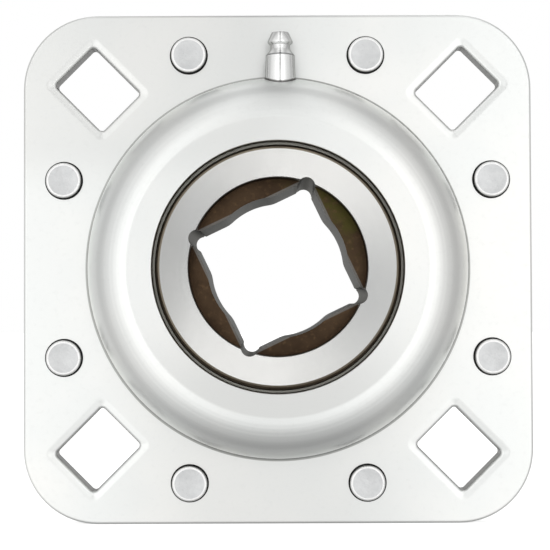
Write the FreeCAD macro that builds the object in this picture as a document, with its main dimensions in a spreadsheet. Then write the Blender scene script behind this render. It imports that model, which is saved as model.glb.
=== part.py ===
import FreeCAD, Part
import math
import os
import Sketcher

# A flange mount bearing for a square axle. Two stamped steel flange halves are riveted together
# and clasp a sealed ball bearing whose outer ring is spherical outside, so that it can align itself.
# Frame: the bore runs along Y, the front (the grease nipple's side) faces -Y and Z is up. The
# origin is the centre of the bore, on the plane where the two flange halves meet. Millimetres.

DRIVING_SIZES = {
    # flange halves
    "flange_width": 152.4,
    "flange_corner_radius": 22.2,
    "sheet_thickness": 3.5,
    "die_roll": 0.9,
    "bolt_spacing": 107.9,
    "bolt_hole_width": 16.4,
    "bolt_hole_length": 20.0,
    "bolt_hole_corner": 1.2,
    "dome_foot_radius": 57.6,
    "dome_foot_fillet": 1.3,
    "dome_bend_radius": 13.0,
    "dome_height": 20.8,
    "opening_radius": 36.35,
    "opening_edge_round": 0.5,
    "seat_radius": 52.43,
    "seat_start": 1.2,
    "parting_relief": 1.2,
    # rivets of the flange
    "rivet_circle_radius": 69.3,
    "rivet_hole_radius": 4.1,
    "rivet_shank_radius": 4.0,
    "rivet_head_radius": 5.35,
    "rivet_head_height": 2.2,
    "rivet_head_round": 1.1,
    "rivet_seat_radius": 5.65,
    "rivet_seat_depth": 0.4,
    # bearing
    "ball_radius": 7.144,
    "pitch_radius": 38.75,
    "raceway_groove_radius": 7.43,
    "raceway_play": 0.016,
    "outer_sphere_radius": 52.4,
    "outer_half_width": 12.7,
    "outer_shoulder_radius": 43.0,
    "outer_edge_chamfer": 0.5,
    "seal_recess_radius": 45.0,
    "seal_recess_floor": 9.2,
    "grease_groove_inner": 5.5,
    "grease_groove_outer": 9.5,
    "grease_groove_depth": 1.6,
    "grease_hole_radius": 1.0,
    "grease_hole_height": 7.5,
    "inner_half_width": 22.225,
    "inner_shoulder_radius": 34.5,
    "inner_face_chamfer": 0.55,
    "counterbore_radius": 25.68,
    "counterbore_depth": 6.0,
    "counterbore_chamfer": 0.25,
    "square_bore": 38.3,
    "square_turn": 25.5,
    "bored_radius": 20.5,
    "bore_blend_radius": 8.0,
    "corner_relief_radius": 2.5,
    "corner_reach": 27.1,
    # cage
    "cage_inner_radius": 36.2,
    "cage_outer_radius": 41.3,
    "cage_sheet": 1.0,
    "cage_pocket_radius": 7.35,
    "cage_rivet_radius": 0.9,
    "cage_rivet_head_radius": 1.6,
    "cage_rivet_head_height": 0.5,
    # seals
    "washer_inner_radius": 36.6,
    "washer_thickness": 0.8,
    "shroud_inner_radius": 35.6,
    "shroud_sheet": 0.95,
    "shroud_face": 15.0,
    "lip_radius": 34.54,
    "lip_width": 0.35,
    "lip_slant": 0.75,
    "lip_root_radius": 36.0,
    "lip_spacing": 1.25,
    "lip_back_radius": 38.4,
    "seal_web": 0.7,
    # grease nipple
    "nipple_forward": 10.0,
    "nipple_aside": 0.9,
    "nipple_seat": 54.0,
    "nipple_shank_end": 52.2,
    "nipple_shank_radius": 3.0,
    "nipple_shank_play": 0.05,
    "nipple_foot_radius": 4.65,
    "nipple_shoulder_radius": 4.3,
    "nipple_shoulder": 62.7,
    "nipple_neck_start": 64.5,
    "nipple_neck_radius": 2.85,
    "nipple_head_start": 65.8,
    "nipple_head_radius": 3.7,
    "nipple_head_bevel": 0.95,
    "nipple_tip": 69.6,
    "nipple_tip_radius": 2.5,
    "nipple_tip_chamfer": 0.2,
    "nipple_passage_radius": 1.0,
    "nipple_chamber_radius": 1.5,
    "nipple_chamber_floor": 60.0,
    "nipple_orifice_radius": 0.9,
    "nipple_orifice_depth": 0.5,
    "nipple_orifice_cone": 0.6,
    "check_ball_radius": 1.2,
    "spring_wire_radius": 0.18,
    "spring_coil_radius": 1.1,
    "spring_pitch": 1.1,
    "valve_play": 0.02,
}
RIVET_COUNT = 8
BALL_COUNT = 10
BOLT_COUNT = 4
LIP_COUNT = 3
GREASE_HOLE_COUNT = 3
SQUARE_SIDES = 4
FULL_TURN = 360.0
UPRIGHT = 90.0          # the angle of the first ball, at the top
OVERCUT = 2             # how many times deeper than the metal a cutter goes on each side
SAME_PLACE = 1e-3       # lengths that agree this closely are the same place
ANGLE_DIGITS = 9        # digits kept of a sine that goes into an expression

os.makedirs("parts", exist_ok=True)
doc = FreeCAD.newDocument("flange_mount_bearing")
sheet = doc.addObject("Spreadsheet::Sheet", "sizes")
for row, (alias, number) in enumerate(DRIVING_SIZES.items(), start=1):
    sheet.set(f"A{row}", alias)
    sheet.set(f"B{row}", str(number))
    sheet.setAlias(f"B{row}", alias)
doc.recompute()


class Size:
    """A length that carries its value and the sheet expression that gives it."""

    def __init__(self, value, text):
        self.value = value
        self.text = text

    def __add__(self, other):
        return join(self, "+", other, self.value + number_of(other))

    def __sub__(self, other):
        return join(self, "-", other, self.value - number_of(other))

    def __mul__(self, other):
        return join(self, "*", other, self.value * number_of(other))

    def __truediv__(self, other):
        return join(self, "/", other, self.value / number_of(other))

    def __neg__(self):
        return self * -1

    def root(self):
        return Size(math.sqrt(self.value), f"sqrt({self.text})")


def number_of(item):
    return item.value if isinstance(item, Size) else item


def text_of(item):
    return item.text if isinstance(item, Size) else f"({item})"


def join(left, sign, right, value):
    return Size(value, f"({left.text} {sign} {text_of(right)})")


def cell(alias):
    return Size(DRIVING_SIZES[alias], f"sizes.{alias}")


def leg(long_side, short_side):
    """The third side of a right-angled triangle: where a round outline is at a given height."""
    return (long_side * long_side - short_side * short_side).root()


def bind(item, path, size):
    item.setExpression(path, text_of(size))


def new_body(label):
    body = doc.addObject("PartDesign::Body", label)
    body.Label = label
    return body


def sketch_on(body, name, role, turn=0, lift=0):
    """A sketch on one of the body's own origin planes, turned in its plane and lifted off it."""
    plane = next(item for item in body.Origin.OriginFeatures if item.Role == role)
    sketch = body.newObject("Sketcher::SketchObject", f"{body.Name}_{name}")
    sketch.AttachmentSupport = [(plane, "")]
    sketch.MapMode = "FlatFace"
    offset = FreeCAD.Vector(0, 0, number_of(lift))
    spin = FreeCAD.Rotation(FreeCAD.Vector(0, 0, 1), number_of(turn))
    sketch.AttachmentOffset = FreeCAD.Placement(offset, spin)
    if isinstance(lift, Size):
        bind(sketch, "AttachmentOffset.Base.z", lift)
    if isinstance(turn, Size):
        bind(sketch, "AttachmentOffset.Rotation.Angle", turn)
    return sketch


def pin_point(sketch, edge, end, place):
    """Fix one end of an edge: on an axis where a coordinate is plain 0, else at a bound distance."""
    rules = (("DistanceX", -2, place[0]), ("DistanceY", -1, place[1]))
    for rule, axis, coordinate in rules:
        if number_of(coordinate) == 0:
            sketch.addConstraint(Sketcher.Constraint("PointOnObject", edge, end, axis))
            continue
        value = number_of(coordinate)
        index = sketch.addConstraint(Sketcher.Constraint(rule, -1, 1, edge, end, value))
        bind(sketch, f"Constraints[{index}]", coordinate)


def add_edge(sketch, start, point):
    """Add the straight or round edge that ends at point. Returns (edge, start end, far end)."""
    here = FreeCAD.Vector(number_of(start[0]), number_of(start[1]), 0)
    there = FreeCAD.Vector(number_of(point[0]), number_of(point[1]), 0)
    if len(point) == 2:
        return sketch.addGeometry(Part.LineSegment(here, there)), 1, 2
    radius, turn = number_of(point[2]), point[3]
    half = (there - here) * 0.5
    away = FreeCAD.Vector(-half.y, half.x, 0).normalize()
    centre = here + half + away * turn * math.sqrt(radius**2 - half.Length**2)
    first, last = (here, there) if turn > 0 else (there, here)
    angles = [math.atan2(end.y - centre.y, end.x - centre.x) for end in (first, last)]
    circle = Part.Circle(centre, FreeCAD.Vector(0, 0, 1), radius)
    edge = sketch.addGeometry(Part.ArcOfCircle(circle, *angles))
    index = sketch.addConstraint(Sketcher.Constraint("Radius", edge, radius))
    bind(sketch, f"Constraints[{index}]", point[2])
    return (edge, 1, 2) if turn > 0 else (edge, 2, 1)


def draw_outline(sketch, points):
    """Draw a closed outline through points of (x, y) or (x, y, radius, turn).

    A point with a radius ends a round edge, which turns anticlockwise for 1 and clockwise for -1.
    """
    edges = [add_edge(sketch, points[n - 1], point) for n, point in enumerate(points)]
    for n, (edge, near, far) in enumerate(edges):
        before, _, before_far = edges[n - 1]
        sketch.addConstraint(Sketcher.Constraint("Coincident", before, before_far, edge, near))
        pin_point(sketch, edge, far, points[n])


def draw_circle(sketch, x, y, radius):
    centre = FreeCAD.Vector(number_of(x), number_of(y), 0)
    normal = FreeCAD.Vector(0, 0, 1)
    circle = sketch.addGeometry(Part.Circle(centre, normal, number_of(radius)))
    index = sketch.addConstraint(Sketcher.Constraint("Radius", circle, number_of(radius)))
    bind(sketch, f"Constraints[{index}]", radius)
    pin_point(sketch, circle, 3, (x, y))


def draw_rounded_rectangle(sketch, centre_y, half_width, half_length, corner):
    """A rectangle on the sketch's Y axis with rounded corners, drawn anticlockwise."""
    right, left = half_width, -half_width
    top, bottom = centre_y + half_length, centre_y - half_length
    draw_outline(
        sketch,
        [
            (right, bottom + corner, corner, 1),
            (right, top - corner),
            (right - corner, top, corner, 1),
            (left + corner, top),
            (left, top - corner, corner, 1),
            (left, bottom + corner),
            (left + corner, bottom, corner, 1),
            (right - corner, bottom),
        ],
    )


def turned_body(label, points, role="XY_Plane"):
    """A body turned on a lathe: points are (radius, distance along the sketch's upright axis)."""
    body = new_body(label)
    section = sketch_on(body, "section", role)
    draw_outline(section, points)
    turning = body.newObject("PartDesign::Revolution", f"{label}_turning")
    turning.Profile = section
    turning.ReferenceAxis = (section, ["V_Axis"])
    turning.Angle = FULL_TURN
    return body


def cut_through(body, sketch, name, depth):
    """Cut the sketch's outline away to a depth on each side of its plane."""
    before = body_volume(body)
    pocket = body.newObject("PartDesign::Pocket", f"{body.Name}_{name}")
    pocket.Profile = sketch
    pocket.SideType = "Symmetric"
    bind(pocket, "Length", depth * 2)
    if body_volume(body) >= before:
        raise RuntimeError(f"{pocket.Name} cuts nothing")
    return pocket


def body_volume(body):
    doc.recompute()
    return body.Shape.Volume


def repeat_round(body, feature, sketch, count, axis="N_Axis"):
    """Repeat a feature round one of a sketch's axes, which has to be the bore's axis."""
    pattern = body.newObject("PartDesign::PolarPattern", f"{feature.Name}_round")
    pattern.Originals = [feature]
    pattern.Axis = (sketch, [axis])
    pattern.Angle = FULL_TURN
    pattern.Occurrences = count
    body.Tip = pattern
    doc.recompute()


def round_edges(body, name, radius, wanted):
    """Round the edges of the body's tip for which wanted(edge) is true."""
    base = body.Tip
    edges = enumerate(base.Shape.Edges, start=1)
    names = [f"Edge{n}" for n, edge in edges if wanted(edge)]
    fillet = body.newObject("PartDesign::Fillet", f"{body.Name}_{name}")
    fillet.Base = (base, names)
    bind(fillet, "Radius", radius)
    doc.recompute()


def turn_to_rear(item):
    """Turn a piece made for the front half round to the rear half."""
    turn = FreeCAD.Rotation(FreeCAD.Vector(0, 0, 1), 180)
    item.Placement = FreeCAD.Placement(FreeCAD.Vector(0, 0, 0), turn)
    return item


def place_round(item, radius, angle):
    """Place an item made at the origin at a radius and an angle round the bore's axis."""
    bind(item, "Placement.Base.x", radius * Size(math.cos(math.radians(angle)), f"cos({angle})"))
    bind(item, "Placement.Base.z", radius * Size(math.sin(math.radians(angle)), f"sin({angle})"))
    return item


# Flange halves. Each is stamped from one sheet: a square plate with a domed pocket drawn in it. The
# pocket is coined inside to the bearing's spherical seat, and the bolt and rivet holes are punched.
rivet_turn = FULL_TURN / RIVET_COUNT / 2


def make_housing(label):
    sheet_thickness = cell("sheet_thickness")
    foot, fillet = cell("dome_foot_radius"), cell("dome_foot_fillet")
    bend, top = cell("dome_bend_radius"), cell("dome_height")
    opening, edge = cell("opening_radius"), cell("opening_edge_round")
    seat, seat_start = cell("seat_radius"), cell("seat_start")
    wall = foot - fillet
    bend_x, bend_height = wall - bend, top - bend
    inner_bend = bend - sheet_thickness

    body = new_body(label)
    plate = sketch_on(body, "plate_outline", "XZ_Plane")
    half, corner = cell("flange_width") / 2, cell("flange_corner_radius")
    draw_rounded_rectangle(plate, Size(0.0, "0"), half, half, corner)
    draw_circle(plate, 0, 0, foot)
    pad = body.newObject("PartDesign::Pad", f"{label}_plate")
    pad.Profile = plate
    bind(pad, "Length", sheet_thickness)

    # where the round inside of the bend runs into the spherical seat
    reach = math.hypot(bend_x.value, bend_height.value)
    cosine = (seat.value**2 - reach**2 - inner_bend.value**2) / (2 * reach * inner_bend.value)
    meeting = math.acos(cosine) + math.atan2(bend_height.value, bend_x.value)
    seat_end = bend_height + inner_bend * round(math.sin(meeting), ANGLE_DIGITS)

    section = sketch_on(body, "dome_section", "XY_Plane")
    draw_outline(
        section,
        [
            (foot, 0),
            (foot, -sheet_thickness),
            (wall, -(sheet_thickness + fillet), fillet, 1),
            (wall, -bend_height),
            (bend_x, -top, bend, -1),
            (opening + edge, -top),
            (opening, edge - top, edge, -1),
            (opening, sheet_thickness - top),
            (bend_x, sheet_thickness - top),
            (leg(seat, seat_end), -seat_end, inner_bend, 1),
            (leg(seat, seat_start), -seat_start, seat, 1),
            (seat + cell("parting_relief"), 0),
        ],
    )
    dome = body.newObject("PartDesign::Revolution", f"{label}_dome")
    dome.Profile = section
    dome.ReferenceAxis = (section, ["V_Axis"])
    dome.Angle = FULL_TURN
    doc.recompute()

    bolt_circle = cell("bolt_spacing") / math.sqrt(2)
    bolt = sketch_on(body, "bolt_hole", "XZ_Plane", turn=FULL_TURN / BOLT_COUNT / 2)
    width, length = cell("bolt_hole_width") / 2, cell("bolt_hole_length") / 2
    draw_rounded_rectangle(bolt, bolt_circle, width, length, cell("bolt_hole_corner"))
    punch = cut_through(body, bolt, "bolt_punch", sheet_thickness * OVERCUT)
    repeat_round(body, punch, bolt, BOLT_COUNT)

    face = -sheet_thickness.value

    def on_face(edge):
        box = edge.BoundBox
        flat = abs(box.YMin - face) < SAME_PLACE and abs(box.YMax - face) < SAME_PLACE
        return flat and math.hypot(edge.CenterOfMass.x, edge.CenterOfMass.z) > foot.value

    round_edges(body, "die_roll", cell("die_roll"), on_face)

    rivet = sketch_on(body, "rivet_hole", "XZ_Plane", turn=rivet_turn)
    draw_circle(rivet, 0, cell("rivet_circle_radius"), cell("rivet_hole_radius"))
    punch = cut_through(body, rivet, "rivet_punch", sheet_thickness * OVERCUT)
    repeat_round(body, punch, rivet, RIVET_COUNT)

    seat_sketch = sketch_on(body, "rivet_seat", "XZ_Plane", turn=rivet_turn, lift=sheet_thickness)
    draw_circle(seat_sketch, 0, cell("rivet_circle_radius"), cell("rivet_seat_radius"))
    coin = cut_through(body, seat_sketch, "rivet_coin", cell("rivet_seat_depth"))
    repeat_round(body, coin, seat_sketch, RIVET_COUNT)
    return body


def bore_upwards(body, name, radius, start, reach, place):
    """Drill a hole along Z at a place (x, y), from start upwards."""
    sketch = sketch_on(body, name, "XY_Plane", lift=start)
    draw_circle(sketch, *place, radius)
    before = body_volume(body)
    drill = body.newObject("PartDesign::Pocket", f"{body.Name}_{name}_drill")
    drill.Profile = sketch
    drill.Reversed = True
    bind(drill, "Length", reach)
    if body_volume(body) >= before:
        raise RuntimeError(f"{drill.Name} cuts nothing")
    return drill


front_housing = make_housing("front_housing")
rear_housing = turn_to_rear(make_housing("rear_housing"))
nipple_place = (cell("nipple_aside"), -cell("nipple_forward"))
nipple_seat, play = cell("nipple_seat"), cell("nipple_shank_play")
shank_hole, foot_hole = cell("nipple_shank_radius") + play, cell("nipple_foot_radius") + play
bore_upwards(front_housing, "nipple_hole", shank_hole, nipple_seat / 2, nipple_seat, nipple_place)
bore_upwards(front_housing, "nipple_spot_face", foot_hole, nipple_seat, nipple_seat, nipple_place)


# Flange rivets. Cold-headed steel, the same low flat head with a rounded rim on both faces, each
# head sunk a little in a coined seat.
def make_rivet(label):
    seat = cell("sheet_thickness") - cell("rivet_seat_depth")
    top = seat + cell("rivet_head_height")
    shank, head = cell("rivet_shank_radius"), cell("rivet_head_radius")
    rim = cell("rivet_head_round")
    return turned_body(
        label,
        [
            (0, -top),
            (head - rim, -top),
            (head, rim - top, rim, 1),
            (head, -seat),
            (shank, -seat),
            (shank, seat),
            (head, seat),
            (head, top - rim),
            (head - rim, top, rim, 1),
            (0, top),
        ],
    )


rivets = []
for n in range(RIVET_COUNT):
    angle = rivet_turn + FULL_TURN / RIVET_COUNT * n
    rivets.append(place_round(make_rivet(f"rivet_{n + 1}"), cell("rivet_circle_radius"), angle))


# Outer ring. Bearing steel, ground spherical outside, with a deep raceway, a seal recess at each
# end and a grease groove in line with the nipple, from which holes lead inwards.
half_width, sphere = cell("outer_half_width"), cell("outer_sphere_radius")
shoulder, recess = cell("outer_shoulder_radius"), cell("seal_recess_radius")
floor, chamfer = cell("seal_recess_floor"), cell("outer_edge_chamfer")
groove = cell("raceway_groove_radius")
outer_groove_x = cell("pitch_radius") + cell("ball_radius") + cell("raceway_play") - groove
outer_groove_half = leg(groove, shoulder - outer_groove_x)
corner_x = leg(sphere, half_width - chamfer)
channel_in, channel_out = cell("grease_groove_inner"), cell("grease_groove_outer")
channel_floor = sphere - cell("grease_groove_depth")
outer_ring = turned_body(
    "outer_ring",
    [
        (recess, -half_width),
        (corner_x - chamfer, -half_width),
        (corner_x, chamfer - half_width),
        (leg(sphere, channel_out), -channel_out, sphere, 1),
        (channel_floor, -channel_out),
        (channel_floor, -channel_in),
        (leg(sphere, channel_in), -channel_in),
        (corner_x, half_width - chamfer, sphere, 1),
        (corner_x - chamfer, half_width),
        (recess, half_width),
        (recess, floor),
        (shoulder, floor),
        (shoulder, outer_groove_half),
        (shoulder, -outer_groove_half, groove, -1),
        (shoulder, -floor),
        (recess, -floor),
    ],
)
hole_reach = sphere - shoulder / 2
hole_size, hole_place = cell("grease_hole_radius"), (0, -cell("grease_hole_height"))
drill = bore_upwards(outer_ring, "grease_hole", hole_size, shoulder / 2, hole_reach, hole_place)
repeat_round(outer_ring, drill, outer_ring.Group[0], GREASE_HOLE_COUNT, axis="V_Axis")

# Inner ring. Bearing steel, wider than the outer ring, counterbored at both ends. A round bore is
# machined first, then a square is broached through it with relieved corners.
half_width, shoulder = cell("inner_half_width"), cell("inner_shoulder_radius")
face_chamfer, bored = cell("inner_face_chamfer"), cell("bored_radius")
counterbore, mouth = cell("counterbore_radius"), cell("counterbore_chamfer")
ledge = half_width - cell("counterbore_depth")
inner_groove_x = cell("pitch_radius") - cell("ball_radius") - cell("raceway_play") + groove
inner_groove_half = leg(groove, inner_groove_x - shoulder)
inner_ring = turned_body(
    "inner_ring",
    [
        (bored, -ledge),
        (counterbore, -ledge),
        (counterbore, mouth - half_width),
        (counterbore + mouth, -half_width),
        (shoulder - face_chamfer, -half_width),
        (shoulder, face_chamfer - half_width),
        (shoulder, -inner_groove_half),
        (shoulder, inner_groove_half, groove, -1),
        (shoulder, half_width - face_chamfer),
        (shoulder - face_chamfer, half_width),
        (counterbore + mouth, half_width),
        (counterbore, half_width - mouth),
        (counterbore, ledge),
        (bored, ledge),
    ],
)
flat = cell("square_bore") / 2
turn = cell("square_turn")
square = sketch_on(inner_ring, "square", "XZ_Plane", turn=turn)
draw_outline(square, [(flat, -flat), (flat, flat), (-flat, flat), (-flat, -flat)])
cut_through(inner_ring, square, "square_broach", half_width * OVERCUT)
relief = sketch_on(inner_ring, "corner_relief", "XZ_Plane", turn=turn + FULL_TURN / SQUARE_SIDES / 2)
relief_radius = cell("corner_relief_radius")
draw_circle(relief, 0, cell("corner_reach") - relief_radius, relief_radius)
corner = cut_through(inner_ring, relief, "corner_broach", half_width * OVERCUT)
repeat_round(inner_ring, corner, relief, SQUARE_SIDES)


def is_bore_ridge(edge):
    """True for the long lines where the round bore runs into the broached flats."""
    box = edge.BoundBox
    along_bore = box.YLength > ledge.value and max(box.XLength, box.ZLength) < SAME_PLACE
    return along_bore and abs(math.hypot(box.XMin, box.ZMin) - bored.value) < SAME_PLACE


round_edges(inner_ring, "bore_blend", cell("bore_blend_radius"), is_bore_ridge)

# Balls. Ten bearing balls on one pitch circle, the first at the top.
def ball_angle(n):
    return UPRIGHT + FULL_TURN / BALL_COUNT * n


balls = []
for n in range(BALL_COUNT):
    ball = doc.addObject("Part::Sphere", f"ball_{n + 1}")
    ball.Label = ball.Name
    bind(ball, "Radius", cell("ball_radius"))
    balls.append(place_round(ball, cell("pitch_radius"), ball_angle(n)))


# Cage. Two pressed steel halves with a cup for each ball, riveted together between the balls.
def lathe_disc(name, radius, height):
    """A disc round the bore's axis that reaches forwards from the middle plane."""
    disc = doc.addObject("Part::Cylinder", name)
    bind(disc, "Radius", radius)
    bind(disc, "Height", height)
    disc.Placement.Rotation = FreeCAD.Rotation(FreeCAD.Vector(1, 0, 0), 90)
    return disc


def lathe_band(name, height):
    """A plain band as wide as the cage."""
    band = doc.addObject("Part::Cut", name)
    band.Base = lathe_disc(f"{name}_outside", cell("cage_outer_radius"), height)
    band.Tool = lathe_disc(f"{name}_inside", cell("cage_inner_radius"), height)
    return band


def ball_group(name, radius):
    """Spheres on the balls' centres, fused into one shape."""
    spheres = []
    for n in range(BALL_COUNT):
        item = doc.addObject("Part::Sphere", f"{name}_{n + 1}")
        bind(item, "Radius", radius)
        spheres.append(place_round(item, cell("pitch_radius"), ball_angle(n)))
    group = doc.addObject("Part::MultiFuse", name)
    group.Shapes = spheres
    return group


cup_outside = cell("cage_pocket_radius") + cell("cage_sheet")
band_height = cup_outside * OVERCUT
cups = doc.addObject("Part::MultiCommon", "cage_cups")
cups.Shapes = [lathe_band("cage_band", band_height), ball_group("cup_outside", cup_outside)]
pressed = doc.addObject("Part::MultiFuse", "cage_pressing")
pressed.Shapes = [cups, lathe_band("cage_flat", cell("cage_sheet"))]
hollowed = doc.addObject("Part::Cut", "cage_hollowed")
hollowed.Base = pressed
hollowed.Tool = ball_group("cup_inside", cell("cage_pocket_radius"))


MIDWAY = 0.5             # the cage's rivets stand half way from one ball to the next
rivet_holes = doc.addObject("Part::MultiFuse", "cage_rivet_holes")
rivet_holes.Shapes = [
    place_round(lathe_disc(f"cage_rivet_hole_{n + 1}", cell("cage_rivet_radius"), cup_outside),
                cell("pitch_radius"), ball_angle(n + MIDWAY))
    for n in range(BALL_COUNT)
]
cage_front = doc.addObject("Part::Cut", "cage_front")
cage_front.Label = "cage_front"
cage_front.Base = hollowed
cage_front.Tool = rivet_holes
cage_rear = doc.addObject("Part::Mirroring", "cage_rear")
cage_rear.Label = "cage_rear"
cage_rear.Source = cage_front
cage_rear.Normal = FreeCAD.Vector(0, 1, 0)

cage_sheet, shank = cell("cage_sheet"), cell("cage_rivet_radius")
head, head_top = cell("cage_rivet_head_radius"), cage_sheet + cell("cage_rivet_head_height")
cage_rivets = doc.addObject("Part::Compound", "cage_rivets")
cage_rivets.Label = "cage_rivets"
cage_rivets.Links = [
    place_round(
        turned_body(
            f"cage_rivet_{n + 1}",
            [
                (0, -head_top),
                (shank, -head_top),
                (head, -cage_sheet),
                (shank, -cage_sheet),
                (shank, cage_sheet),
                (head, cage_sheet),
                (shank, head_top),
                (0, head_top),
            ],
        ),
        cell("pitch_radius"),
        ball_angle(n + MIDWAY),
    )
    for n in range(BALL_COUNT)
]


# Seals. At each end a steel washer lies in the outer ring's recess, a rubber ring with three lips is
# bonded to it, and a pressed steel shroud covers both.
def make_washer(label):
    floor, thickness = cell("seal_recess_floor"), cell("washer_thickness")
    inner, outer = cell("washer_inner_radius"), cell("seal_recess_radius")
    top = floor + thickness
    return turned_body(label, [(inner, -floor), (outer, -floor), (outer, -top), (inner, -top)])


def make_shroud(label):
    start = cell("seal_recess_floor") + cell("washer_thickness")
    face, sheet = cell("shroud_face"), cell("shroud_sheet")
    inner, outer = cell("shroud_inner_radius"), cell("seal_recess_radius")
    return turned_body(
        label,
        [
            (outer, -start),
            (outer, sheet - face),
            (outer - sheet, -face, sheet, -1),
            (inner, -face),
            (inner, sheet - face),
            (outer - sheet, sheet - face),
            (outer - sheet, -start),
        ],
    )


def make_lips(label):
    start = cell("seal_recess_floor") + cell("washer_thickness")
    tip, root, back = cell("lip_radius"), cell("lip_root_radius"), cell("lip_back_radius")
    width, slant, spacing = cell("lip_width"), cell("lip_slant"), cell("lip_spacing")
    outer = cell("seal_recess_radius") - cell("shroud_sheet")
    top = start + spacing * LIP_COUNT
    points = [(outer, -start), (outer, -(start + cell("seal_web")))]
    points += [(back, -(start + cell("seal_web"))), (back, -top), (root, -top)]
    for n in reversed(range(LIP_COUNT)):
        base = start + spacing * n
        points += [(tip, -(base + slant)), (tip, -(base + slant - width)), (root, -base)]
        if n:
            points.append((root, -(base - width)))
    return turned_body(label, points)


seal_makers = {"seal_washer": make_washer, "seal_shroud": make_shroud, "seal_lips": make_lips}
front_seal_parts = [make(f"front_{name}") for name, make in seal_makers.items()]
rear_seal_parts = [turn_to_rear(make(f"rear_{name}")) for name, make in seal_makers.items()]

# Grease nipple. Plated steel, pressed into the front dome. A ball under the tip's hole is the
# check valve, held up by a small coil spring in the chamber below it.
passage, chamber = cell("nipple_passage_radius"), cell("nipple_chamber_radius")
orifice, tip = cell("nipple_orifice_radius"), cell("nipple_tip")
orifice_floor = tip - cell("nipple_orifice_depth")
neck, shank = cell("nipple_neck_radius"), cell("nipple_shank_radius")
tip_radius, tip_chamfer = cell("nipple_tip_radius"), cell("nipple_tip_chamfer")
nipple_body = turned_body(
    "grease_nipple_body",
    [
        (passage, cell("nipple_shank_end")),
        (shank, cell("nipple_shank_end")),
        (shank, nipple_seat),
        (cell("nipple_foot_radius"), nipple_seat),
        (cell("nipple_shoulder_radius"), cell("nipple_shoulder")),
        (neck, cell("nipple_neck_start")),
        (neck, cell("nipple_head_start")),
        (cell("nipple_head_radius"), cell("nipple_head_start") + cell("nipple_head_bevel")),
        (tip_radius, tip - tip_chamfer),
        (tip_radius - tip_chamfer, tip),
        (orifice, tip),
        (orifice, orifice_floor),
        (chamber, orifice_floor - cell("nipple_orifice_cone")),
        (chamber, cell("nipple_chamber_floor")),
        (passage, cell("nipple_chamber_floor")),
    ],
    role="XZ_Plane",
)

def stand_in_nipple(item):
    """Move an item made on the Z axis onto the nipple's own axis."""
    bind(item, "Placement.Base.x", nipple_place[0])
    bind(item, "Placement.Base.y", nipple_place[1])


stand_in_nipple(nipple_body)
check_ball = doc.addObject("Part::Sphere", "grease_nipple_ball")
check_ball.Label = check_ball.Name
ball_size = cell("check_ball_radius")
bind(check_ball, "Radius", ball_size)
stand_in_nipple(check_ball)
play = cell("valve_play")
ball_height = orifice_floor - leg(ball_size, orifice) - play
bind(check_ball, "Placement.Base.z", ball_height)

wire, coil, pitch = cell("spring_wire_radius"), cell("spring_coil_radius"), cell("spring_pitch")
spring_start = cell("nipple_chamber_floor") + wire + play
spring_end = ball_height - leg(ball_size + wire, coil) - play * 2
helix = doc.addObject("Part::Helix", "spring_line")
bind(helix, "Radius", coil)
bind(helix, "Pitch", pitch)
bind(helix, "Height", spring_end - spring_start)
wire_section = doc.addObject("Part::Circle", "spring_wire")
bind(wire_section, "Radius", wire)
bind(wire_section, "Placement.Base.x", coil)
wire_section.Placement.Rotation = FreeCAD.Rotation(FreeCAD.Vector(1, 0, 0), 90)
spring = doc.addObject("Part::Sweep", "grease_nipple_spring")
spring.Label = spring.Name
spring.Sections = [wire_section]
spring.Spine = (helix, [])
spring.Solid = True
spring.Frenet = True
stand_in_nipple(spring)
bind(spring, "Placement.Base.z", spring_start)

doc.recompute()
nodes = [front_housing, rear_housing, *rivets, outer_ring, inner_ring, *balls]
nodes += [cage_front, cage_rear, cage_rivets, *front_seal_parts, *rear_seal_parts]
nodes += [nipple_body, check_ball, spring]

for item in doc.Objects:
    if "Invalid" in item.State or "Error" in item.State:
        raise RuntimeError(f"{item.Name} was not built: {item.State}")
for node in nodes:
    if node.Shape.isNull() or not node.Shape.isValid():
        raise RuntimeError(f"{node.Label} has no valid shape")
for node in nodes:
    node.Shape.exportStep(f"parts/{node.Label}.step")
    print(node.Label, round(node.Shape.Volume, 1), len(node.Shape.Solids))
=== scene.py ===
import math

import bmesh
import bpy
from mathutils import Matrix, Vector


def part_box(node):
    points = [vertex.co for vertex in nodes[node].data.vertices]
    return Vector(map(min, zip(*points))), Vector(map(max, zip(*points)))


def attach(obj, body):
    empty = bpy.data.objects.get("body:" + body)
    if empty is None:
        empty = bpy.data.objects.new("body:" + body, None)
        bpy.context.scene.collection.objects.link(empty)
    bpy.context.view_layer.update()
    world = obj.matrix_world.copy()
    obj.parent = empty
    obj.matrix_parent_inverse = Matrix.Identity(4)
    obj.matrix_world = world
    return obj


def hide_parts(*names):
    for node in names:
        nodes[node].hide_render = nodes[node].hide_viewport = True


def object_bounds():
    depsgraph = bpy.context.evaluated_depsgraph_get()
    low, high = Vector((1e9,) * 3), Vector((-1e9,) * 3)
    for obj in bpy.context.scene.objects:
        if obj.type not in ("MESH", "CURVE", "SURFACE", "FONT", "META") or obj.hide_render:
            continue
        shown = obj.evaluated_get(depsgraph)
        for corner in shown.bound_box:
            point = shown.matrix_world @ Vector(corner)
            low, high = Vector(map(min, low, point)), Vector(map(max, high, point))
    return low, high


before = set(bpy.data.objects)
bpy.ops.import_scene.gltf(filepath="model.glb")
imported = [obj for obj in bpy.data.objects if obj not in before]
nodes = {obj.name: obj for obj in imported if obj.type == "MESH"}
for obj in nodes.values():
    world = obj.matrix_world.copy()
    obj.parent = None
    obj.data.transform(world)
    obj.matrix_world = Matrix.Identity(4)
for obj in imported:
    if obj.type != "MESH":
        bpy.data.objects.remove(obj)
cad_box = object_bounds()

MM = 0.001


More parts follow.
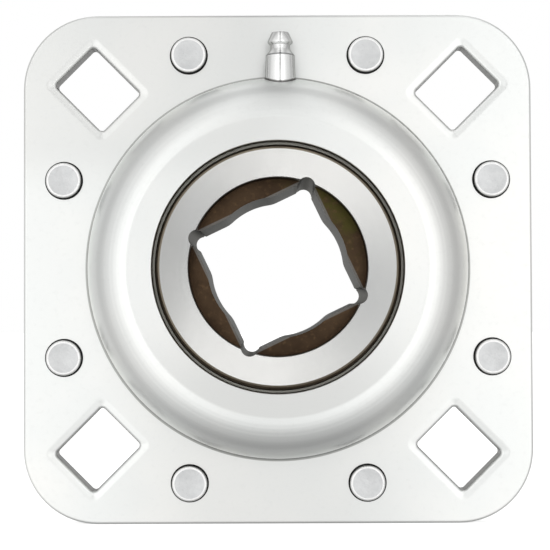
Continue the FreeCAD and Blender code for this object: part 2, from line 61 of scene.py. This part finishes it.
class Value:
    """A number that varies over a surface: a node's output with arithmetic on it."""

    def __init__(self, finish, socket):
        self.finish = finish
        self.socket = socket

    def maths(self, operation, *others):
        """A Math node on this value and the others."""
        inputs = dict(enumerate([self, *others]))
        return self.finish.value("ShaderNodeMath", {"operation": operation}, inputs)

    def __add__(self, other):
        return self.maths("ADD", other)

    def __mul__(self, other):
        return self.maths("MULTIPLY", other)

    def __sub__(self, other):
        return self.maths("SUBTRACT", other)

    def __truediv__(self, other):
        return self.maths("DIVIDE", other)

    def __rsub__(self, other):
        return self * -1.0 + other

    __radd__, __rmul__ = __add__, __mul__

    def size(self):
        return self.maths("ABSOLUTE")

    def rise(self, low, high):
        """0 below low, 1 above high and smooth between them."""
        inputs = {"Value": self, "From Min": low, "From Max": high}
        return self.finish.value("ShaderNodeMapRange", {"interpolation_type": "SMOOTHSTEP"}, inputs)

    def fall(self, low, high):
        """1 below low, 0 above high and smooth between them."""
        return 1.0 - self.rise(low, high)

    def band(self, low, high, soft):
        """1 between low and high, fading to 0 over a soft distance on each side."""
        return self.rise(low - soft, low) * self.fall(high, high + soft)


def length(first, second):
    """The long side over two lengths that lie at right angles."""
    return (first * first + second * second).maths("SQRT")


class Finish:
    """A material and its nodes, with short ways to add the nodes of a maker's finish."""

    def __init__(self, name, metallic=1.0):
        self.material = bpy.data.materials.new(name)
        self.material.use_nodes = True
        self.tree = self.material.node_tree
        self.shader = self.tree.nodes["Principled BSDF"]
        self.shader.inputs["Metallic"].default_value = metallic
        place = self.node("ShaderNodeTexCoord")
        self.place, self.facing = place.outputs["Object"], place.outputs["Normal"]

    def node(self, kind, settings=(), inputs=()):
        """Add a node of a type: its settings are made first, then its values and links."""
        node = self.tree.nodes.new(kind)
        for key, value in dict(settings).items():
            if key == "stops":
                self.set_stops(node.color_ramp, value)
            else:
                setattr(node, key, value)
        for key, value in dict(inputs).items():
            self.feed(node.inputs[key], value)
        return node

    def set_stops(self, ramp, stops):
        while len(ramp.elements) < len(stops):
            ramp.elements.new(1.0)
        for element, (position, brightness) in zip(ramp.elements, stops):
            element.position = position
            element.color = (brightness, brightness, brightness, 1.0)

    def feed(self, socket, value):
        """Give a socket a link, a colour or a plain value."""
        value = value.socket if isinstance(value, Value) else value
        if isinstance(value, bpy.types.NodeSocket):
            self.tree.links.new(value, socket)
        elif isinstance(value, tuple) and socket.type == "RGBA":
            socket.default_value = (*value, 1.0)
        else:
            socket.default_value = value

    def value(self, kind, settings=(), inputs=()):
        return Value(self, self.node(kind, settings, inputs).outputs[0])

    def set(self, **inputs):
        """Feed the shader's own sockets, named in lower case with underscores."""
        sockets = {socket.name.lower().replace(" ", "_"): socket for socket in self.shader.inputs}
        for name, value in inputs.items():
            self.feed(sockets[name], value)

    def axes(self, vector=None):
        """The x, y and z of a vector: of the place on the piece if none is named."""
        node = self.node("ShaderNodeSeparateXYZ", (), {0: vector or self.place})
        return [Value(self, output) for output in node.outputs]

    def point(self, x, y, z=0.0):
        return self.node("ShaderNodeCombineXYZ", (), {0: x, 1: y, 2: z}).outputs[0]

    def noise(self, size, detail=2.0, roughness=0.5, stretch=(1.0, 1.0, 1.0), at=None):
        """Soft noise from 0 to 1 whose spots are about one size across, drawn out by stretch."""
        mapping = self.node("ShaderNodeMapping", (), {"Vector": at or self.place, "Scale": stretch})
        inputs = {"Vector": mapping.outputs[0], "Scale": 1.0 / size, "Detail": detail,
                  "Roughness": roughness}
        return self.value("ShaderNodeTexNoise", (), inputs)

    def mix(self, share, first, second):
        """A colour that is the first where share is 0 and the second where it is 1."""
        node = self.node("ShaderNodeMix", {"data_type": "RGBA"})
        sockets = {socket.identifier: socket for socket in [*node.inputs, *node.outputs]}
        for name, value in (("Factor_Float", share), ("A_Color", first), ("B_Color", second)):
            self.feed(sockets[name], value)
        return sockets["Result_Color"]

    def raised(self, height, distance, under=None):
        """A normal for a surface raised by height times a distance, over another normal if given."""
        inputs = {"Height": height, "Distance": distance}
        if under is not None:
            inputs["Normal"] = under
        return self.node("ShaderNodeBump", (), inputs).outputs[0]

    def cover(self, *pieces):
        """Put this finish on pieces or on CAD nodes, named by their names."""
        for name in pieces:
            mesh = nodes[name].data if name in nodes else bpy.data.objects[name].data
            mesh.materials.clear()
            mesh.materials.append(self.material)


DOME_FOOT = 57.6 * MM
DOME_WALL = 56.3 * MM
DOME_FLAT = 44.0 * MM
OPENING = 36.35 * MM
EDGE_WALLS = 75.0 * MM
BOLT_CIRCLE = 76.3 * MM
BOLT_HOLE_HALF_WIDTH = 8.2 * MM
BOLT_HOLE_HALF_LENGTH = 10.0 * MM
RIVET_CIRCLE = 69.3 * MM
RIVET_SEAT = 5.65 * MM
RIVET_STEP = math.radians(45.0)
NIPPLE_FOOT = 4.65 * MM


def middle_of(node):
    low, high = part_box(node)
    return (low + high) / 2


def from_nearest_rivet(finish):
    """How far a place is from the axis of the nearest rivet."""
    x, _, z = finish.axes()
    out = length(x, z)
    turn = z.maths("ARCTAN2", x).maths("FLOORED_MODULO", RIVET_STEP) - RIVET_STEP / 2.0
    return length(out * turn.maths("COSINE") - RIVET_CIRCLE, out * turn.maths("SINE"))


zinc = Finish("satin_zinc_plate")
x, y, z = zinc.axes()
_, facing_y, _ = zinc.axes(zinc.facing)
radius = length(x, z)
wall = facing_y.size().fall(0.25, 0.6)
across = (x.size() - z.size()) * math.sqrt(0.5)
along = (x.size() + z.size()) * math.sqrt(0.5) - BOLT_CIRCLE
out_across = (across.size() - BOLT_HOLE_HALF_WIDTH).maths("MAXIMUM", 0.0)
out_along = (along.size() - BOLT_HOLE_HALF_LENGTH).maths("MAXIMUM", 0.0)
from_hole = length(out_across, out_along)
from_rivet = from_nearest_rivet(zinc)

cloud = zinc.noise(45 * MM, 3.0)
fine = zinc.noise(0.5 * MM, 2.0, 0.6, stretch=(0.10, 1.0, 1.0))
speckle = zinc.noise(1.6 * MM, 2.0, 0.65)
sheared = zinc.noise(0.35 * MM, 2.0, 0.7, stretch=(1.0, 0.05, 1.0))
hole_wall = wall * from_hole.fall(0.6 * MM, 1.0 * MM)
edge_wall = wall * radius.rise(EDGE_WALLS, EDGE_WALLS + 1.0 * MM)
rivet_seat_shade = from_rivet.band(RIVET_SEAT - 0.5 * MM, RIVET_SEAT + 0.03 * MM, 0.05 * MM)
foot_ring = radius.band(DOME_WALL - 0.1 * MM, DOME_FOOT - 0.1 * MM, 0.2 * MM)
dome_foot_shade = foot_ring * y.size().fall(6.5 * MM, 8.5 * MM)
opening_edge_shade = radius.fall(OPENING - 0.1 * MM, OPENING + 0.15 * MM)
nipple_axis = middle_of("grease_nipple_body") * Vector((1.0, 1.0, 0.0))
from_nipple = length(x - nipple_axis.x, y - nipple_axis.y)
nipple_ring = from_nipple.band(NIPPLE_FOOT - 0.1 * MM, NIPPLE_FOOT + 0.2 * MM, 0.3 * MM)
nipple_foot_shade = nipple_ring * z.rise(45 * MM, 50 * MM)
colour = zinc.mix(cloud.rise(0.35, 0.7), (0.87, 0.885, 0.87), (0.935, 0.935, 0.91))
domed = radius.band(DOME_FLAT, DOME_WALL - 0.3 * MM, 1.0 * MM)
# Painted shade: the plate and the flat of the dome are painted darker low in the middle and high on the
# left, standing in for dimmer reflections there.
low_shade = z.fall(-36 * MM, -5 * MM) * x.size().fall(15 * MM, 60 * MM)
low_shade = low_shade * (0.85 - 0.35 * radius.rise(50 * MM, 58 * MM))
high_shade = z.rise(20 * MM, 38 * MM) * x.fall(-10 * MM, 15 * MM) * 0.45
colour = zinc.mix((low_shade + high_shade) * (1.0 - domed), colour, (0.70, 0.705, 0.69))
colour = zinc.mix(speckle.rise(0.52, 0.8) * 0.10, colour, (0.62, 0.63, 0.62))
colour = zinc.mix(edge_wall * 0.6, colour, (0.50, 0.50, 0.49))
colour = zinc.mix(hole_wall, colour, zinc.mix(sheared, (0.16, 0.16, 0.155), (0.34, 0.34, 0.33)))
# Painted shade: a dark ring round the foot of the dome, where it meets the flange.
colour = zinc.mix(dome_foot_shade * (0.65 + 0.35 * cloud), colour, (0.33, 0.335, 0.32))
# Painted shadow: a dark line round the edge of the opening over the inner ring.
colour = zinc.mix(opening_edge_shade, colour, (0.10, 0.09, 0.075))
# Painted shade: a dark ring on the dome round the foot of the grease nipple.
colour = zinc.mix(nipple_foot_shade * 0.85, colour, (0.08, 0.08, 0.075))
# Painted shade: near black in each rivet's seat, round its head.
colour = zinc.mix(rivet_seat_shade, colour, (0.012, 0.012, 0.011))
draw_ring = zinc.noise(1.1 * MM, 2.0, 0.6, at=zinc.point(radius, y * 0.4))
normal = zinc.raised(fine * 0.6 + speckle * 0.4, 0.012 * MM)
normal = zinc.raised(draw_ring * domed, 0.06 * MM, normal)
normal = zinc.raised(from_hole.rise(0.0, 2.6 * MM), 0.28 * MM, normal)
roughness = 0.27 + 0.10 * cloud + 0.06 * speckle + 0.2 * hole_wall
zinc.set(base_color=colour, roughness=roughness, normal=normal)
zinc.cover("front_housing", "rear_housing")


# Flange rivets. Steel slugs, headed cold against both faces, with a low flat-topped head that the
# heading die leaves with a faint ring and a rounded rim. They are plated with the flange.
def turn_on_lathe(name, profile, place, axis="Y", steps=96, rounding=0.0):
    """Make a turned piece: profile is (radius, distance along the axis), place is its zero."""
    mesh = bmesh.new()
    verts = [mesh.verts.new((r, 0.0, d)) for r, d in profile]
    edges = [mesh.edges.new(pair) for pair in zip(verts, verts[1:])]
    if profile[0][0] > 0.0:
        edges.append(mesh.edges.new((verts[-1], verts[0])))
    bmesh.ops.spin(mesh, geom=verts + edges, cent=(0, 0, 0), axis=(0, 0, 1), angle=math.tau,
                   steps=steps, use_merge=True)
    bmesh.ops.remove_doubles(mesh, verts=mesh.verts, dist=1e-6)
    if rounding:
        sharp = [e for e in mesh.edges if e.calc_face_angle(0.0) > math.radians(25)]
        bmesh.ops.bevel(mesh, geom=sharp, affect="EDGES", offset=rounding, segments=3, profile=0.5,
                        material=-1, clamp_overlap=True)
    bmesh.ops.recalc_face_normals(mesh, faces=mesh.faces)
    if axis == "Y":
        quarter_turn = Matrix.Rotation(math.pi / 2, 3, "X")
        bmesh.ops.rotate(mesh, verts=mesh.verts, cent=(0, 0, 0), matrix=quarter_turn)
    bmesh.ops.translate(mesh, verts=mesh.verts, vec=place)
    data = bpy.data.meshes.new(name)
    mesh.to_mesh(data)
    mesh.free()
    data.shade_smooth()
    data.set_sharp_from_angle(angle=math.radians(35))
    piece = bpy.data.objects.new(name, data)
    bpy.context.scene.collection.objects.link(piece)
    return piece


RIVET_NAMES = sorted(name for name in nodes if name.startswith("rivet_"))
RIVET_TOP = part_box("rivet_1")[1].y
HEAD_FLOOR = 3.1 * MM
HEAD_RADIUS = 5.35 * MM
SHANK_RADIUS = 4.0 * MM
DIE_RING = 4.45 * MM
half_profile = [
    (0.0, RIVET_TOP - 0.10 * MM), (DIE_RING - 0.35 * MM, RIVET_TOP - 0.08 * MM),
    (DIE_RING, RIVET_TOP), (DIE_RING + 0.45 * MM, RIVET_TOP - 0.05 * MM),
    (HEAD_RADIUS - 0.22 * MM, RIVET_TOP - 0.22 * MM), (HEAD_RADIUS - 0.05 * MM, RIVET_TOP - 0.55 * MM),
    (HEAD_RADIUS, RIVET_TOP - 1.0 * MM), (HEAD_RADIUS, HEAD_FLOOR), (SHANK_RADIUS, HEAD_FLOOR)]
rivet_profile = half_profile + [(r, -d) for r, d in reversed(half_profile)]
for name in RIVET_NAMES:
    rivet = turn_on_lathe(f"{name}_headed", rivet_profile, middle_of(name), rounding=0.12 * MM)
    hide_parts(name)
    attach(rivet, "flange_unit")

headed = Finish("headed_rivet_steel")
from_axis = from_nearest_rivet(headed)
scale = headed.noise(2.2 * MM, 3.0, 0.6)
pits = headed.noise(0.45 * MM, 2.0, 0.6)
flat_top = from_axis.fall(DIE_RING - 0.15 * MM, DIE_RING + 0.1 * MM)
colour = headed.mix(flat_top * (0.55 + 0.35 * scale), (0.95, 0.95, 0.94), (0.56, 0.57, 0.575))
colour = headed.mix(pits.rise(0.6, 0.75) * 0.3, colour, (0.42, 0.42, 0.42))
# Painted shade: the rim and side of each head are near black, a dark outline round it.
rivet_rim_shade = from_axis.rise(HEAD_RADIUS - 0.18 * MM, HEAD_RADIUS - 0.10 * MM)
colour = headed.mix(rivet_rim_shade, colour, (0.02, 0.02, 0.02))
headed.set(base_color=colour, roughness=0.26 + 0.16 * scale + 0.10 * pits,
           normal=headed.raised(scale + 0.4 * pits, 0.10 * MM))
headed.cover(*[f"{name}_headed" for name in RIVET_NAMES])

# Inner ring. Hardened bearing steel, ground on its outside and turned on its faces, so fine rings
# run round the bore. The counterbores are left dark with old oil, and the square is broached.
SQUARE_HALF = 19.15 * MM
SQUARE_TURN = math.radians(25.5)
COUNTERBORE = 25.68 * MM
SHOULDER_EDGE = 33.95 * MM
RELIEF_START = 24.3 * MM
RELIEF_TIP = 27.6 * MM
LEDGE = 16.225 * MM
MOUTH = 22.1 * MM
BRIGHT_FAN = 1.31        # radians round the bore, where the painted sheen on the turned face is brightest

ring = Finish("turned_ring_steel")
x, y, z = ring.axes()
_, facing_y, _ = ring.axes(ring.facing)
radius = length(x, z)
depth = y.size()
end = facing_y.size().rise(0.6, 0.9)
in_x = (x * math.cos(SQUARE_TURN) + z * math.sin(SQUARE_TURN)).size()
in_z = (z * math.cos(SQUARE_TURN) - x * math.sin(SQUARE_TURN)).size()
from_square = in_x.maths("MAXIMUM", in_z) - SQUARE_HALF
in_bore = radius.fall(COUNTERBORE - 0.02 * MM, COUNTERBORE + 0.12 * MM)
counterbored = in_bore * depth.fall(MOUTH - 0.4 * MM, MOUTH)
oiled = counterbored * depth.rise(LEDGE - 0.25 * MM, LEDGE - 0.05 * MM)
bore_wall = (1.0 - end) * radius.fall(RELIEF_TIP, RELIEF_TIP + 0.3 * MM) * (1.0 - oiled)
blotch = ring.noise(9 * MM, 3.0, 0.6)
rings = ring.noise(0.22 * MM, 2.0, 0.7, at=ring.point(radius, depth * 0.02))
wide_rings = ring.noise(1.8 * MM, 2.0, 0.5, at=ring.point(radius, depth * 0.02))
broached = ring.noise(0.28 * MM, 2.0, 0.7, stretch=(1.0, 0.015, 1.0))
# Painted sheen: the turned face is bright in two opposite fans round the bore and darker between them.
painted_sheen = ((z.maths("ARCTAN2", x) - BRIGHT_FAN) * 2.0).maths("COSINE") * 0.5 + 0.5
olive = ring.noise(7 * MM, 3.0, 0.6).rise(0.35, 0.6) * (x + z).rise(22 * MM, 34 * MM)
oil = ring.mix(blotch.rise(0.3, 0.7), (0.050, 0.032, 0.020), (0.078, 0.050, 0.030))
oil = ring.mix(olive * 0.85, oil, (0.072, 0.066, 0.018))
spots = ring.noise(1.6 * MM, 3.0, 0.65)
oil = ring.mix(spots.rise(0.52, 0.72) * 0.6, oil, (0.125, 0.078, 0.042))
worn = from_square.band(-0.4 * MM, 0.55 * MM, 0.2 * MM)
oil = ring.mix(worn * 0.8, oil, (0.17, 0.165, 0.155))
steel = ring.mix(painted_sheen, (0.52, 0.525, 0.52), (0.985, 0.98, 0.955))
# Painted shade: the face is painted darker toward the left.
left_side_shade = x.fall(-33 * MM, -23 * MM)
steel = ring.mix(left_side_shade * 0.4, steel, (0.35, 0.35, 0.34))
steel = ring.mix(rings * 0.16 + wide_rings * 0.12, steel, (0.60, 0.60, 0.58))
# The edge past the shoulder is painted dark brown.
shoulder_edge_brown = radius.rise(SHOULDER_EDGE - 0.05 * MM, SHOULDER_EDGE + 0.1 * MM)
steel = ring.mix(shoulder_edge_brown, steel, (0.34, 0.29, 0.22))
broached_steel = ring.mix(broached, (0.115, 0.116, 0.110), (0.20, 0.197, 0.182))
steel = ring.mix(bore_wall, steel, broached_steel)
relief_oil = bore_wall * radius.band(RELIEF_START, RELIEF_TIP - 0.1 * MM, 0.5 * MM)
steel = ring.mix(relief_oil * 0.5, steel, (0.085, 0.080, 0.060))
colour = ring.mix(oiled, steel, oil)
mouth_ring = radius.band(COUNTERBORE - 0.1 * MM, COUNTERBORE + 0.08 * MM, 0.06 * MM)
mouth_oil = mouth_ring * depth.rise(MOUTH - 1.1 * MM, MOUTH - 0.5 * MM)
colour = ring.mix(mouth_oil * 0.8, colour, (0.10, 0.085, 0.07))
normal = ring.raised(rings * end, 0.020 * MM)
normal = ring.raised(broached * bore_wall, 0.03 * MM, normal)
roughness = 0.22 + 0.07 * blotch + 0.25 * bore_wall + 0.18 * oiled
ring.set(base_color=colour, roughness=roughness, normal=normal, specular_tint=(0.5, 0.5, 0.5))
ring.cover("inner_ring")

# Seals. A pressed steel shroud, phosphated grey, covers a triple-lip rubber ring at each end. Oil
# and dust make the rubber and the shroud's inner edge look brown in the gap round the inner ring.
SHROUD_OUTER = 45.0 * MM
SHROUD_INNER = 35.6 * MM
SHROUD_SHEET = 0.95 * MM
SHROUD_FACE = 15.0 * MM
SHROUD_START = 10.0 * MM
BEND = 0.6 * MM
ROLLED = 0.3 * MM
LIP_TIP = 34.54 * MM
LIP_ROOT = 36.0 * MM
LIP_BACK = 38.4 * MM
LIP_SPACING = 1.25 * MM
LIP_SLANT = 0.75 * MM
LIP_WIDTH = 0.35 * MM
WEB = 0.7 * MM
shroud_profile = [
    (SHROUD_OUTER, SHROUD_START), (SHROUD_OUTER, SHROUD_FACE - BEND),
    (SHROUD_OUTER - BEND / 3, SHROUD_FACE - BEND / 3), (SHROUD_OUTER - BEND, SHROUD_FACE),
    (SHROUD_INNER + ROLLED, SHROUD_FACE), (SHROUD_INNER, SHROUD_FACE - ROLLED),
    (SHROUD_INNER, SHROUD_FACE - SHROUD_SHEET), (SHROUD_OUTER - SHROUD_SHEET, SHROUD_FACE - SHROUD_SHEET),
    (SHROUD_OUTER - SHROUD_SHEET, SHROUD_START)]
lip_profile = [
    (SHROUD_OUTER - SHROUD_SHEET, SHROUD_START), (SHROUD_OUTER - SHROUD_SHEET, SHROUD_START + WEB),
    (LIP_BACK, SHROUD_START + WEB), (LIP_BACK, SHROUD_START + 3 * LIP_SPACING),
    (LIP_ROOT, SHROUD_START + 3 * LIP_SPACING)]
for start in (SHROUD_START + LIP_SPACING * n for n in (2, 1, 0)):
    tip_end = start + LIP_SLANT
    lip_profile += [(LIP_TIP, tip_end), (LIP_TIP, tip_end - LIP_WIDTH), (LIP_ROOT, start)]
    if start > SHROUD_START:
        lip_profile.append((LIP_ROOT, start - LIP_WIDTH))
seal_pieces = (("shroud", shroud_profile, "shroud_steel"), ("lips", lip_profile, "seal_rubber"))
for end_name, side in (("front", 1.0), ("rear", -1.0)):
    for kind, profile, slot in seal_pieces:
        sided = [(r, d * side) for r, d in profile]
        piece = turn_on_lathe(f"{end_name}_{kind}", sided, Vector(), steps=180)
        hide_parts(f"{end_name}_seal_{kind}")
        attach(piece, "outer_ring_unit")

phosphate = Finish("phosphated_shroud_steel")
x, _, z = phosphate.axes()
mottle = phosphate.noise(3.0 * MM, 3.0, 0.6)
stain = length(x, z).fall(SHROUD_INNER + 0.05 * MM, SHROUD_INNER + 0.35 * MM)
colour = phosphate.mix(mottle, (0.56, 0.56, 0.51), (0.72, 0.72, 0.66))
colour = phosphate.mix(stain * 0.75, colour, (0.22, 0.175, 0.12))
phosphate.set(base_color=colour, roughness=0.42 + 0.2 * mottle, normal=phosphate.raised(mottle, 0.04 * MM))
phosphate.cover("front_shroud", "rear_shroud", "front_seal_washer", "rear_seal_washer")

rubber = Finish("oily_seal_rubber", metallic=0.0)
grime = rubber.noise(2.5 * MM, 3.0, 0.6)
rubber.set(base_color=rubber.mix(grime, (0.10, 0.076, 0.048), (0.21, 0.16, 0.10)),
           roughness=0.35 + 0.3 * grime, normal=rubber.raised(grime, 0.05 * MM))
rubber.cover("front_lips", "rear_lips")

# Outer ring. Hardened bearing steel, ground to a sphere outside and greased, clasped between the
# flange halves. Only its edge can be seen, deep in the gap behind the flange's opening.
ground = Finish("ground_sphere_steel")
x, y, z = ground.axes()
lines = ground.noise(0.25 * MM, 2.0, 0.7, at=ground.point(length(x, z), y))
film = ground.noise(6 * MM, 3.0, 0.6)
ground.set(base_color=ground.mix(film.rise(0.4, 0.7), (0.50, 0.50, 0.49), (0.36, 0.33, 0.27)),
           roughness=0.2 + 0.2 * film, normal=ground.raised(lines, 0.01 * MM))
ground.cover("outer_ring")

# Balls and check ball. They are lapped and polished bright, and a thin film of grease lies on them
# unevenly.
polished = Finish("lapped_ball_steel")
film = polished.noise(3 * MM, 3.0, 0.6)
polished.set(base_color=polished.mix(film.rise(0.45, 0.7), (0.86, 0.86, 0.87), (0.66, 0.60, 0.48)),
             roughness=0.05 + 0.18 * film, normal=polished.raised(film, 0.02 * MM))
polished.cover("grease_nipple_ball", *[name for name in nodes if name.startswith("ball_")])

# Cage and check spring. The cage is pressed from soft steel strip in two halves and riveted round
# the balls, and the spring is wound from wire. Both are dull, and brown where grease lies on them.
strip = Finish("pressed_strip_steel")
grease = strip.noise(5 * MM, 3.0, 0.6)
drawn = strip.noise(0.5 * MM, 2.0, 0.6)
strip.set(base_color=strip.mix(grease.rise(0.4, 0.7), (0.56, 0.56, 0.55), (0.34, 0.28, 0.19)),
          roughness=0.32 + 0.2 * grease, normal=strip.raised(drawn, 0.015 * MM))
strip.cover("cage_front", "cage_rear", "cage_rivets", "grease_nipple_spring")

# Grease nipple. Turned from steel bar, zinc plated bright and pressed into the front dome: a stout
# body, a sloping shoulder, a neck and a tapered head for the grease gun's jaws, with a ball valve.
BODY_FOOT = 54.0 * MM
SHOULDER = 62.7 * MM
SPRING_FLOOR = 60.0 * MM
SHANK = 3.0 * MM
BARREL_TOP = 4.3 * MM
NECK = 2.9 * MM
HEAD = 3.72 * MM
TIP = 2.4 * MM
GREASE_WAY = 1.0 * MM
BALL_SEAT = 1.5 * MM
TIP_HOLE = 0.9 * MM
low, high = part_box("grease_nipple_body")
tip = high.z
nipple_profile = [
    (GREASE_WAY, low.z), (SHANK, low.z), (SHANK, BODY_FOOT), (NIPPLE_FOOT, BODY_FOOT),
    (BARREL_TOP, SHOULDER), (BARREL_TOP - 0.15 * MM, SHOULDER + 0.2 * MM),
    (NECK + 0.1 * MM, tip - 5.2 * MM), (NECK, tip - 4.9 * MM), (NECK, tip - 3.8 * MM),
    (HEAD, tip - 3.1 * MM), (HEAD, tip - 2.7 * MM), (TIP + 0.15 * MM, tip - 0.15 * MM), (TIP, tip),
    (TIP_HOLE, tip), (TIP_HOLE, tip - 0.5 * MM), (BALL_SEAT, tip - 1.1 * MM),
    (BALL_SEAT, SPRING_FLOOR), (GREASE_WAY, SPRING_FLOOR)]
nipple = turn_on_lathe("grease_nipple_turned", nipple_profile, nipple_axis, axis="Z", rounding=0.07 * MM)
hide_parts("grease_nipple_body")
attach(nipple, "flange_unit")

DOME_ROUND = 13.0 * MM
DOME_ROUND_CENTRE = 43.3 * MM
DOME_ROUND_START = 7.8 * MM

bright = Finish("bright_nipple_plate", metallic=0.85)
x, y, z = bright.axes()
from_axis = length(x - nipple_axis.x, y - nipple_axis.y)
above_dome = length(length(x, z) - DOME_ROUND_CENTRE, y.size() - DOME_ROUND_START) - DOME_ROUND
tooling = bright.noise(0.30 * MM, 2.0, 0.7, at=bright.point(from_axis, z))
haze = bright.noise(2.0 * MM, 3.0, 0.6)
shoulder_ring = z.band(SHOULDER - 0.12 * MM, SHOULDER + 0.22 * MM, 0.15 * MM)
shoulder_line = shoulder_ring * from_axis.rise(3.6 * MM, 4.0 * MM)
dome_contact_shade = above_dome.fall(0.15 * MM, 0.6 * MM)
inside = from_axis.fall(BALL_SEAT + 0.1 * MM, BALL_SEAT + 0.4 * MM) * z.fall(tip - 0.3 * MM, tip - 0.1 * MM)
behind = (y - nipple_axis.y).rise(-3.4 * MM, -0.4 * MM)
colour = bright.mix(haze * 0.3 + tooling * 0.2, (0.96, 0.965, 0.955), (0.84, 0.845, 0.84))
# Painted shade: the back half of the nipple, seen round its edges, is painted dark.
colour = bright.mix(behind * (0.55 + 0.3 * haze), colour, (0.26, 0.26, 0.25))
colour = bright.mix(shoulder_line * 0.75, colour, (0.22, 0.22, 0.22))
# Painted shade: near black where the nipple meets the dome and inside the hole in its tip.
colour = bright.mix((dome_contact_shade + inside).maths("MINIMUM", 1.0) * 0.85, colour, (0.06, 0.055, 0.05))
bright.set(base_color=colour, roughness=0.10 + 0.07 * haze, normal=bright.raised(tooling, 0.004 * MM),
           specular_tint=(0.4, 0.4, 0.4))
bright.cover("grease_nipple_turned")

# Studio. A pale floor under the flange runs out to a white room. The light is soft and comes mostly
# from in front. It is weaker from below, a little weaker right behind the camera and on the right,
# and a narrow gap between the lights overhead lays a dark line down the grease nipple.
FLOOR_REACH = 3.0
floor_mesh = bmesh.new()
bmesh.ops.create_grid(floor_mesh, x_segments=1, y_segments=1, size=FLOOR_REACH)
bmesh.ops.translate(floor_mesh, verts=floor_mesh.verts, vec=(0, 0, cad_box[0].z))
floor_data = bpy.data.meshes.new("studio_floor")
floor_mesh.to_mesh(floor_data)
floor = bpy.data.objects.new("studio_floor", floor_data)
bpy.context.scene.collection.objects.link(floor)
floor.visible_glossy = False
pale = Finish("pale_floor", metallic=0.0)
tone = pale.noise(0.2, 2.0)
pale.set(base_color=pale.mix(tone, (0.80, 0.80, 0.80), (0.84, 0.84, 0.83)), roughness=0.8,
         emission_color=(1.0, 1.0, 1.0), emission_strength=0.62, specular_ior_level=0.1)
pale.cover("studio_floor")


class Room(Finish):
    """The world's nodes, added in the same way."""

    def __init__(self, world):
        world.use_nodes = True
        self.tree = world.node_tree
        self.shader = self.tree.nodes["Background"]
        self.place = self.node("ShaderNodeTexCoord").outputs["Generated"]


world = bpy.data.worlds.new("white_room")
bpy.context.scene.world = world
room = Room(world)
x, y, z = room.axes()
BRIGHTEST = 1.6
# Degrees away from straight in front, and how bright the room is there.
LIGHT_BY_ANGLE = [(0, 0.92), (5, 1.02), (9, 1.44), (15, 1.56), (25, 1.36), (33, 1.16), (43, 0.94),
                  (57, 0.76), (70, 0.70), (80, 0.56), (90, 0.42)]
stops = [(degrees / 90, light / BRIGHTEST) for degrees, light in LIGHT_BY_ANGLE]
from_front = y.size().maths("MINIMUM", 1.0).maths("ARCCOSINE") / math.radians(90)
around = room.value("ShaderNodeValToRGB", {"stops": stops}, {0: from_front}) * BRIGHTEST
clock = x.size().maths("ARCTAN2", z * -1.0)
straight_on = from_front.fall(0.20, 0.30)
above = 1.0 - 0.14 * z.band(0.10, 0.30, 0.08) * x.fall(0.0, 0.12) * straight_on
overhead = 1.0 + (0.20 * z.rise(0.45, 0.70) + 0.35 * z.rise(0.68, 0.80)) * x.size().fall(0.15, 0.45)
below = 1.0 - 0.34 * clock.fall(math.radians(15), math.radians(50)) * z.fall(-0.12, 0.02)
middle = 1.0 - 0.32 * x.size().fall(0.03, 0.15) * straight_on
sides = 1.0 + 0.12 * x.fall(-0.9, -0.3) - 0.08 * x.rise(0.3, 0.9)
sides = sides - 0.20 * x.band(-0.11, -0.05, 0.03) * straight_on
gap = 1.0 - 0.9 * x.band(-0.05, 0.05, 0.02) * z.rise(0.12, 0.18)
light = around * above * overhead * below * middle * sides * gap
camera_sees = room.value("ShaderNodeLightPath")
room.set(color=room.mix(camera_sees, room.point(light, light, light), (1.0, 1.0, 1.0)))

# Camera. It stands in front of the flange, a little below the centre of the bore, and looks up at
# it by about a degree.
camera_data = bpy.data.cameras.new("camera")
camera_data.lens = 91.94
camera_data.sensor_width = 36.0
camera = bpy.data.objects.new("camera", camera_data)
camera.location = Vector((-1.09, -423.9, -11.2)) * MM
camera.rotation_mode = "ZYX"
camera.rotation_euler = [math.radians(degrees) for degrees in (91.26, -0.03, -0.21)]
bpy.context.scene.collection.objects.link(camera)
bpy.context.scene.camera = camera
bpy.context.scene.view_settings.view_transform = "Standard"
